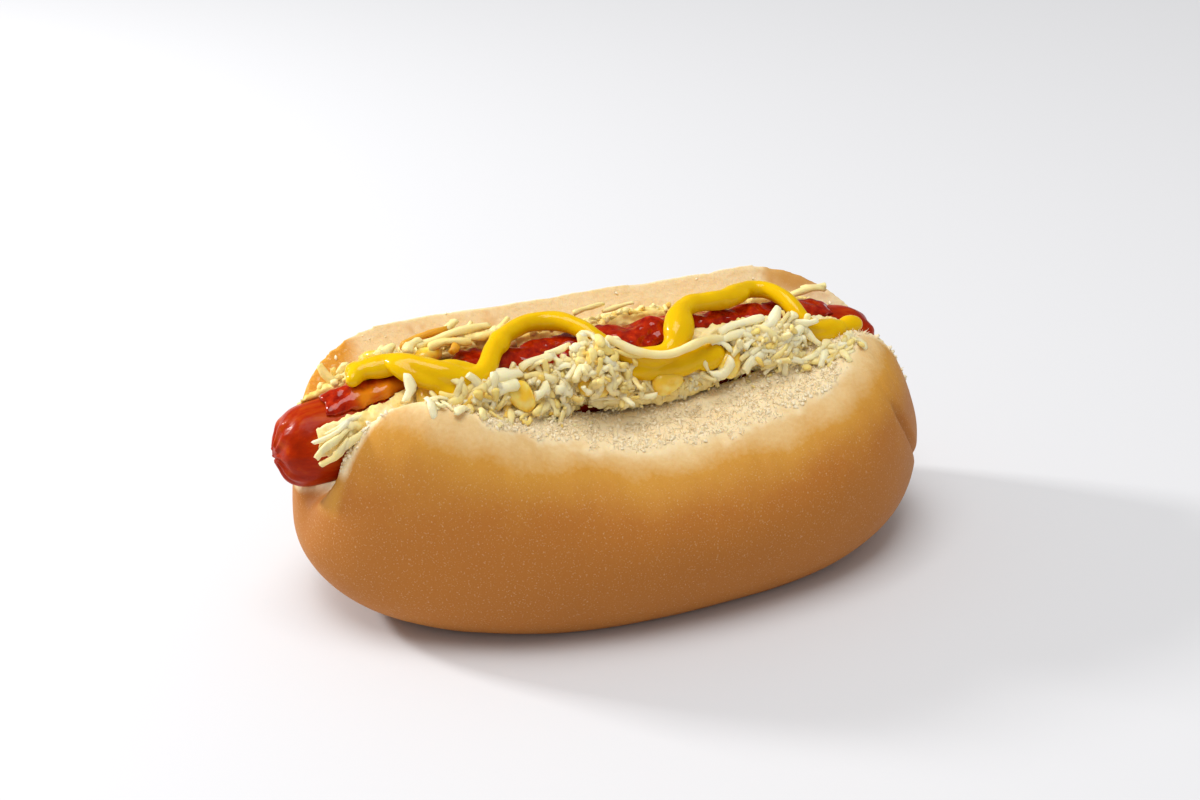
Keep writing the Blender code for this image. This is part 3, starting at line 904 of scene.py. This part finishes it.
class Grated:
    """How grated or cut pieces of a heap vary: their usual length and width in mm."""

    def __init__(self, length, width, lengths, flatness):
        self.length, self.width, self.lengths, self.flatness = length / MM, width / MM, lengths, flatness

    def size(self, chance):
        width = self.width * chance.uniform(0.7, 1.3)
        length = self.length * chance.choice(self.lengths) * chance.uniform(0.8, 1.2)
        return length, width, width * self.flatness


def strew(heap, tree, chance, count, reach, upper, lower, grated, lift=(0.0, 0.8), steep=0.25,
          lengthwise=0.0, shade=0.36, clear=()):
    """Lays loose things on a surface at random, between the phi curves upper and lower and over reach in x,
    but not on crust or in the clear places, each a (middle, radius). Lift is how high they lie, steep how far
    they tip off the surface, lengthwise how much they lie along the sausage, and shade their usual tint."""
    for _ in range(count):
        x = chance.uniform(*reach)
        phi = float(along(upper, x)) + (float(along(lower, x)) - float(along(upper, x))) * chance.random()
        found = drop_on(tree, x, phi)
        if found is None:
            continue
        point, normal = found
        on_crust = torn_share(np.array([point]))[0] < 0.5
        if on_crust or any((point - middle).length < radius * MM for middle, radius in clear):
            continue
        way = Vector([chance.gauss(0, 1) for _ in range(3)])
        way.x += lengthwise * chance.choice((-1, 1))
        flat = way - normal * way.dot(normal)
        forward = flat.normalized() + normal * chance.gauss(0, steep)
        at = point + normal * chance.uniform(*lift) * MM
        heap.add(chance.randrange(99), at, forward, normal, grated.size(chance), chance.uniform(-0.14, 0.24),
                 min(max(chance.gauss(shade, 0.2), 0.0), 1.0))


def lay(heap, placed):
    """Lays things placed one by one: both ends as (x, phi, rho), width, bow and shade."""
    for kind, (start, end, width, bow, shade) in enumerate(placed):
        a, b = around(*start), around(*end)
        up = outward_at((start[1] + end[1]) / 2)
        heap.add(kind, (a + b) / 2, b - a, up, ((b - a).length / MM, width, width * 0.8), bow, shade)


# Shreds placed one by one: ((x, phi, rho) of both ends, width, bow, shade)
LAID_CHEESE = [
    ((-22, -42, 14.6), (-13, -35, 15.4), 1.7, 0.05, 0.25),
    ((-15, -35, 15.4), (-8, -28, 14.6), 1.5, 0.05, 0.25),
    ((-13, -35, 15.4), (-13, -48, 14.8), 1.6, 0.0, 0.25),
    ((-38, -61, 15.6), (-24, -55, 16.4), 2.9, 0.04, 0.15),
    ((-32, -51, 15.2), (-22, -44, 15.4), 2.8, 0.1, 0.1),
    ((-12, -62, 16.0), (-5, -29, 17.6), 1.5, -0.12, 0.1), ((-3, -36, 16.0), (-9, -40, 17.4), 2.2, 0.0, 0.05),
    ((-50, -49, 15.4), (-48.4, -29, 17.8), 2.2, 0.0, 0.1),
    ((-20, -66, 15.2), (-16.5, -68, 15.0), 2.6, 0.0, 0.1),
    ((-15, -68, 15.0), (-11, -72, 14.8), 2.6, 0.0, 0.1),
    ((22, -58, 15.2), (25, -78, 14.8), 1.1, 0.05, 0.35), ((25, -82, 15.4), (31, -72, 15.8), 2.4, 0.0, 0.05),
    ((29, -44, 15.2), (42, -33, 16.2), 2.0, 0.0, 0.1), ((39, -50, 15.6), (47, -30, 16.8), 2.6, 0.0, 0.05),
    ((46, -42, 15.6), (51, -38, 16.4), 1.7, 0.0, 0.15), ((28, -52, 15.0), (38, -44, 15.8), 2.0, 0.05, 0.2),
    ((34, -82, 15.4), (41, -60, 16.2), 2.2, 0.05, 0.1), ((38, -78, 15.6), (48, -54, 16.6), 2.0, 0.03, 0.15),
    ((42, -77, 15.4), (50, -56, 16.6), 1.7, 0.03, 0.1), ((36, -68, 15.8), (42, -48, 16.8), 1.9, 0.0, 0.2),
    ((44, -70, 15.8), (52, -48, 16.4), 1.8, 0.04, 0.1), ((31, -66, 15.0), (36, -52, 15.8), 1.6, 0.0, 0.3),
    ((-72, -78, 12.4), (-64, -56, 13.2), 1.5, 0.1, 0.35),
    ((-72, -62, 12.0), (-62, -50, 13.0), 1.1, 0.12, 0.1),
    ((-70.5, -74, 12.2), (-66, -60, 13.0), 1.3, 0.1, 0.3),
    ((-71, -88, 12.4), (-64, -68, 13.4), 1.5, 0.08, 0.45),
    ((-69, -54, 11.8), (-60, -48, 12.8), 0.9, 0.1, 0.2), ((-68, -80, 12.6), (-60, -62, 13.4), 1.6, 0.1, 0.4),
]
CHEESE_UPPER = [(-70, -56), (-44, -58), (-38, -50), (-30, -46), (-22, -38), (-12, -36), (2, -38), (6, -58),
                (24, -62), (30, -48), (50, -42), (60, -50), (65, -52)]
CHEESE_LOWER = [(-70, -80), (-40, -84), (-20, -93), (0, -92), (8, -84), (24, -84), (40, -86), (65, -78)]
FRINGE_LOWER = [(-46, -88), (-20, -106), (20, -106), (64, -84)]
# Mounds on the heap's core: (x, phi, rho, (along, across, thick), turn)
CHEESE_MOUNDS = [
    (-4, -50, 14.0, (9, 12, 6), 0), (-30, -60, 13.2, (16, 8, 4), 8), (42, -60, 13.4, (20, 9, 4.5), -8),
    (12, -94, 11.8, (36, 7, 4), 0), (-22, -92, 12.2, (26, 7, 4), 0),
]
MUSTARD_CLEAR = [((16, -66, 15), 6.5), ((24, -63, 15), 4.5), ((9, -66, 15), 4.0), ((58, -52, 15), 5.0),
                 ((65, -50, 14), 4.0)]  # ((x, phi, rho), reach)
KERNEL_CLEAR = 4.2  # how far shreds keep from a kernel's middle
MOUND_UPPER, MOUND_LOWER = [(-10, -36), (2, -34)], [(-10, -76), (2, -74)]


class HOTDOG_OT_cheese(bpy.types.Operator):
    """Grated cheese heaped along the front"""

    bl_idname = "hotdog.cheese"
    bl_label = "Grated cheese"

    def execute(self, context):
        cheese = context.scene.hotdog_cheese
        finish = shred_finish("grated cheese", tuple(cheese.light_colour), tuple(cheese.deep_colour),
                               tuple(cheese.gold_colour))
        core = heap_core("front_heap", "cheese_core", 0.45, 61, CHEESE_MOUNDS)
        finish_piece(core, finish, "cheese", "front_heap")
        kernels = [bpy.data.objects[f"corn_{number}"] for number in range(2, KERNEL_COUNT + 1)]
        under = [bpy.data.objects[name] for name in ("bun_loaf", "sausage_skin", "mustard_bead")]
        tree = surface_of(core, *under)
        chance = random.Random(62)
        heap = Heap([shred_shape(seed) for seed in range(6)])
        short = Grated(cheese.length, cheese.width, (0.4, 0.6, 0.8, 1.0, 1.3), 0.6)
        nuggets = Grated(cheese.length * 0.6, cheese.width * 1.2, (0.6, 1.0, 1.4), 0.7)
        clear = [(around(*place), reach) for place, reach in MUSTARD_CLEAR]
        for number in range(1, KERNEL_COUNT + 1):
            low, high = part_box(f"corn_kernel_{number}")
            clear.append(((low + high) / 2, KERNEL_CLEAR))
        strew(heap, tree, chance, cheese.shreds, (-50, 65), CHEESE_UPPER, CHEESE_LOWER, short, clear=clear)
        mound = surface_of(core, *kernels)
        strew(heap, mound, chance, 80, (-10, 2), MOUND_UPPER, MOUND_LOWER, nuggets, (0.4, 2.2), 0.6)
        lay(heap, LAID_CHEESE)
        heap.shapes = [crumb_shape(seed) for seed in range(10, 15)]
        bits = Grated(cheese.width, cheese.width * 0.62, (0.6, 0.9, 1.3), 0.8)
        strew(heap, mound, chance, 700, (-50, 64), CHEESE_UPPER, CHEESE_LOWER, bits, (0.2, 1.2), 0.5,
              clear=clear)
        strew(heap, tree, chance, 150, (-46, 64), CHEESE_LOWER, FRINGE_LOWER, bits, (0.0, 0.4), 0.5)
        shreds = heap.build("cheese_shreds")
        finish_piece(shreds, finish, "cheese")
        return {"FINISHED"}


# Potato sticks --------------------------------------------------------------------------------------

# Sticks placed one by one: ((x, phi, rho) of both ends, width, bow, shade)
LAID_POTATO = [
    ((-45, 20, 16.6), (-33, 30, 18.4), 2.3, 0.02, 0.95), ((-42, 16, 16.4), (-24, 14, 17.4), 2.3, 0.04, 0.2),
    ((-52, 14, 15.8), (-47, 24, 16.8), 2.8, 0.0, 0.05), ((-46, 10, 16.0), (-41, 20, 16.8), 2.8, 0.0, 0.1),
    ((-33, 24, 18.0), (-31, 32, 19.6), 1.9, 0.0, 0.15), ((-36, -8, 15.0), (-33, 6, 16.2), 1.8, 0.0, 1.0),
    ((-40, 8, 15.6), (-30, 4, 15.8), 2.2, 0.05, 0.35), ((-31, 8, 15.8), (-24, 3, 15.6), 2.2, 0.0, 0.3),
    ((-2, 22, 16.0), (7, 28, 17.0), 1.5, 0.05, 0.2), ((6, 26, 15.2), (14, 22, 16.0), 1.4, 0.03, 0.15),
    ((55, 6, 13.6), (66, 14, 14.8), 1.9, 0.05, 0.15), ((60, 18, 14.4), (66, 8, 15.4), 1.6, 0.0, 0.1),
]
POTATO_UPPER = [(-60, 30), (-50, 12), (-26, 10), (-20, 30), (65, 29)]
POTATO_LOWER = [(-60, 70), (-26, 62), (-15, 50), (65, 60)]


class HOTDOG_OT_potato(bpy.types.Operator):
    """Potato sticks heaped along the back"""

    bl_idname = "hotdog.potato"
    bl_label = "Potato sticks"

    def execute(self, context):
        potato = context.scene.hotdog_potato
        finish = shred_finish("potato sticks", tuple(potato.light_colour), tuple(potato.deep_colour),
                               tuple(potato.gold_colour))
        core = heap_core("back_heap", "potato_core", 0.3, 71)
        finish_piece(core, finish, "potato_sticks", "back_heap")
        tree = surface_of(core, bpy.data.objects["bun_loaf"])
        chance = random.Random(72)
        heap = Heap([shred_shape(seed, blunt=0.8) for seed in range(6, 12)])
        cut = Grated(potato.length, potato.width, (0.4, 0.6, 0.9, 1.2), 0.85)
        short = Grated(potato.length * 0.5, potato.width * 0.7, (0.3, 0.5, 0.8), 0.85)
        strew(heap, tree, chance, potato.sticks, (-62, -18), POTATO_UPPER, POTATO_LOWER, cut,
              steep=0.2, lengthwise=0.5, shade=0.24)
        strew(heap, tree, chance, potato.sticks, (-60, 65), POTATO_UPPER, POTATO_LOWER, short,
              lift=(0.0, 0.4), steep=0.2, lengthwise=0.8, shade=0.2)
        lay(heap, LAID_POTATO)
        sticks = heap.build("potato_sticks")
        finish_piece(sticks, finish, "potato_sticks")
        return {"FINISHED"}


# Loose crumb ----------------------------------------------------------------------------------------

def torn_places(loaf, chance, count, wanted):
    """Random (point, normal) on the bun's torn faces; wanted(x, y, z) gives the chance of keeping one."""
    mesh = loaf.data
    values = np.empty(len(mesh.vertices), np.float32)
    mesh.attributes["torn"].data.foreach_get("value", values)
    faces = [f for f in mesh.polygons if values[f.vertices[0]] > 0.7]
    found = []
    while len(found) < count:
        face = faces[chance.randrange(len(faces))]
        x, y, z = layout_of(np.array([face.center]))
        if chance.random() < wanted(x[0], y[0], z[0]):
            found.append((face.center.copy(), face.normal.copy()))
    return found


class HOTDOG_OT_crumb(bpy.types.Operator):
    """Tufts and wisps that stand up from the torn crumb"""

    bl_idname = "hotdog.crumb"
    bl_label = "Loose crumb"

    def execute(self, context):
        bun = context.scene.hotdog_bun
        loaf = bpy.data.objects["bun_loaf"]
        made = shred_finish("loose crumb", tuple(bun.crumb_colour), tuple(bun.crumb_colour),
                            tuple(bun.crumb_shade), roughness=0.75, depth=0.0, sheen=0.0)
        chance = random.Random(81)

        def wanted(x, y, z):
            if abs(y) < 11 and z < line_height(x) + 6:
                return 0.0
            return 1.0 if y < 0 else 0.03

        tufts = Heap([crumb_shape(seed) for seed in range(5)])
        for point, normal in torn_places(loaf, chance, 700, wanted):
            size = chance.uniform(0.4, 1.2)
            way = Vector([chance.gauss(0, 1) for _ in range(3)])
            tufts.add(chance.randrange(9), point + normal * 0.1 * MM, way, normal,
                      (size * 1.4, size, size * 0.7), 0, chance.uniform(0, 0.5))
        finish_piece(tufts.build("crumb_tufts"), made, "bun_bread")
        def on_lip(x, y, z):
            return wanted(x, y, z) * (1.0 if abs(z - along(FRONT_RIM, x)) < 2.5 else 0.06)

        wisps = Heap([fibre_shape(seed) for seed in range(4)])
        for point, normal in torn_places(loaf, chance, 3000, on_lip):
            way = normal + Vector([chance.gauss(0, 0.8) for _ in range(3)])
            length = chance.uniform(0.6, 1.8)
            wisps.add(chance.randrange(9), point + way.normalized() * length * 0.35 * MM, way, (1, 0.2, 0.1),
                      (length, 0.3, 0.26), chance.uniform(-0.3, 0.3), chance.uniform(0, 0.3))
        finish_piece(wisps.build("crumb_wisps"), made, "bun_bread")
        return {"FINISHED"}


# Stage ----------------------------------------------------------------------------------------------

MIRRORED_SKY = 0.3  # the room's brightness in reflections, as a share
AIM = Vector((4.14, 3.65, 0.0))  # what the camera looks at, from the sausage's middle
AIM_HEIGHT = 40.28


def way_from(turn, rise):
    """The direction to something at an angle round the object and above the floor."""
    return Vector((math.sin(turn) * math.cos(rise), -math.cos(turn) * math.cos(rise), math.sin(rise)))


def add_light(name, turn, rise, distance, size, power, aim):
    """A square soft light seen from the object at an angle round it and above the floor."""
    way = way_from(math.radians(turn), math.radians(rise))
    bpy.ops.object.light_add(type="AREA", location=aim + way * distance)
    lamp = bpy.context.object
    lamp.name = name
    lamp.data.size = size
    lamp.data.energy = power
    lamp.rotation_mode = "QUATERNION"
    lamp.rotation_quaternion = (-way).to_track_quat("-Z", "Y")


class HOTDOG_OT_stage(bpy.types.Operator):
    """Floor, soft lights and camera"""

    bl_idname = "hotdog.stage"
    bl_label = "Stage"

    def execute(self, context):
        stage = context.scene.hotdog_stage
        bpy.ops.mesh.primitive_plane_add(size=12.0)
        floor = context.object
        floor.name = "floor"
        made = Finish("floor", Roughness=0.55, Specular_IOR_Level=0.2)
        made.set(Base_Color=tuple(stage.floor_colour))
        floor.data.materials.append(made.material)
        world = bpy.data.worlds.new("room")
        context.scene.world = world
        world.use_nodes = True
        world.node_tree.nodes["Background"].inputs["Color"].default_value = (1.0, 1.0, 1.0, 1.0)
        room = world.node_tree.nodes["Background"]
        path = world.node_tree.nodes.new("ShaderNodeLightPath")
        # The room is darker where wet things mirror it
        seen = world.node_tree.nodes.new("ShaderNodeMapRange")
        seen.inputs["To Min"].default_value = stage.sky
        seen.inputs["To Max"].default_value = MIRRORED_SKY * stage.sky
        world.node_tree.links.new(path.outputs["Is Glossy Ray"], seen.inputs["Value"])
        world.node_tree.links.new(seen.outputs["Result"], room.inputs["Strength"])
        aim = Vector((SAUSAGE_MIDDLE.x + AIM.x, SAUSAGE_MIDDLE.y + AIM.y, AIM_HEIGHT)) * MM
        add_light("key from the left", -132, 27, 0.85, 0.11, stage.key_power, aim)
        add_light("overhead", -60, 78, 4.0, 2.6, stage.overhead_power, aim)
        back = way_from(stage.turn, stage.rise)
        bpy.ops.object.camera_add(location=aim + back * stage.distance)
        camera = context.object
        camera.rotation_mode = "QUATERNION"
        camera.rotation_quaternion = (-back).to_track_quat("-Z", "Y")
        camera.data.lens = stage.lens
        camera.data.clip_start = 0.01
        camera.data.clip_end = 30.0
        context.scene.camera = camera
        context.scene.view_settings.view_transform = "Standard"
        return {"FINISHED"}


class HOTDOG_PT_panel(bpy.types.Panel):
    """Lists the pieces and their settings"""

    bl_idname = "HOTDOG_PT_panel"
    bl_label = "Hot Dog"
    bl_space_type = "VIEW_3D"
    bl_region_type = "UI"
    bl_category = "Hot Dog"

    def draw(self, context):
        for name, (group, operators) in SECTIONS.items():
            box = self.layout.box()
            box.label(text=name)
            settings = getattr(context.scene, group)
            for setting in settings.__annotations__:
                box.prop(settings, setting)
            for operator in operators:
                box.operator(operator.bl_idname)


SETTINGS = {
    "hotdog_bun": BunSettings, "hotdog_sausage": SausageSettings, "hotdog_sauces": SauceSettings,
    "hotdog_corn": CornSettings, "hotdog_cheese": CheeseSettings, "hotdog_potato": PotatoSettings,
    "hotdog_stage": StageSettings,
}
SECTIONS = {
    "Bun": ("hotdog_bun", [HOTDOG_OT_bun, HOTDOG_OT_crumb]),
    "Sausage": ("hotdog_sausage", [HOTDOG_OT_sausage]),
    "Sauces": ("hotdog_sauces", [HOTDOG_OT_ketchup, HOTDOG_OT_mustard]),
    "Corn": ("hotdog_corn", [HOTDOG_OT_corn]),
    "Cheese": ("hotdog_cheese", [HOTDOG_OT_cheese_strand, HOTDOG_OT_cheese]),
    "Potato": ("hotdog_potato", [HOTDOG_OT_potato]),
    "Stage": ("hotdog_stage", [HOTDOG_OT_stage]),
}
OPERATORS = [operator for _, operators in SECTIONS.values() for operator in operators]
CLASSES = [*SETTINGS.values(), *OPERATORS, HOTDOG_PT_panel]


def register():
    for made in CLASSES:
        bpy.utils.register_class(made)
    for name, group in SETTINGS.items():
        setattr(bpy.types.Scene, name, bpy.props.PointerProperty(type=group))


def unregister():
    for name in SETTINGS:
        delattr(bpy.types.Scene, name)
    for made in reversed(CLASSES):
        bpy.utils.unregister_class(made)


def main():
    register()
    for operator in OPERATORS:
        family, name = operator.bl_idname.split(".")
        getattr(getattr(bpy.ops, family), name)()


if __name__ == "__main__":
    main()
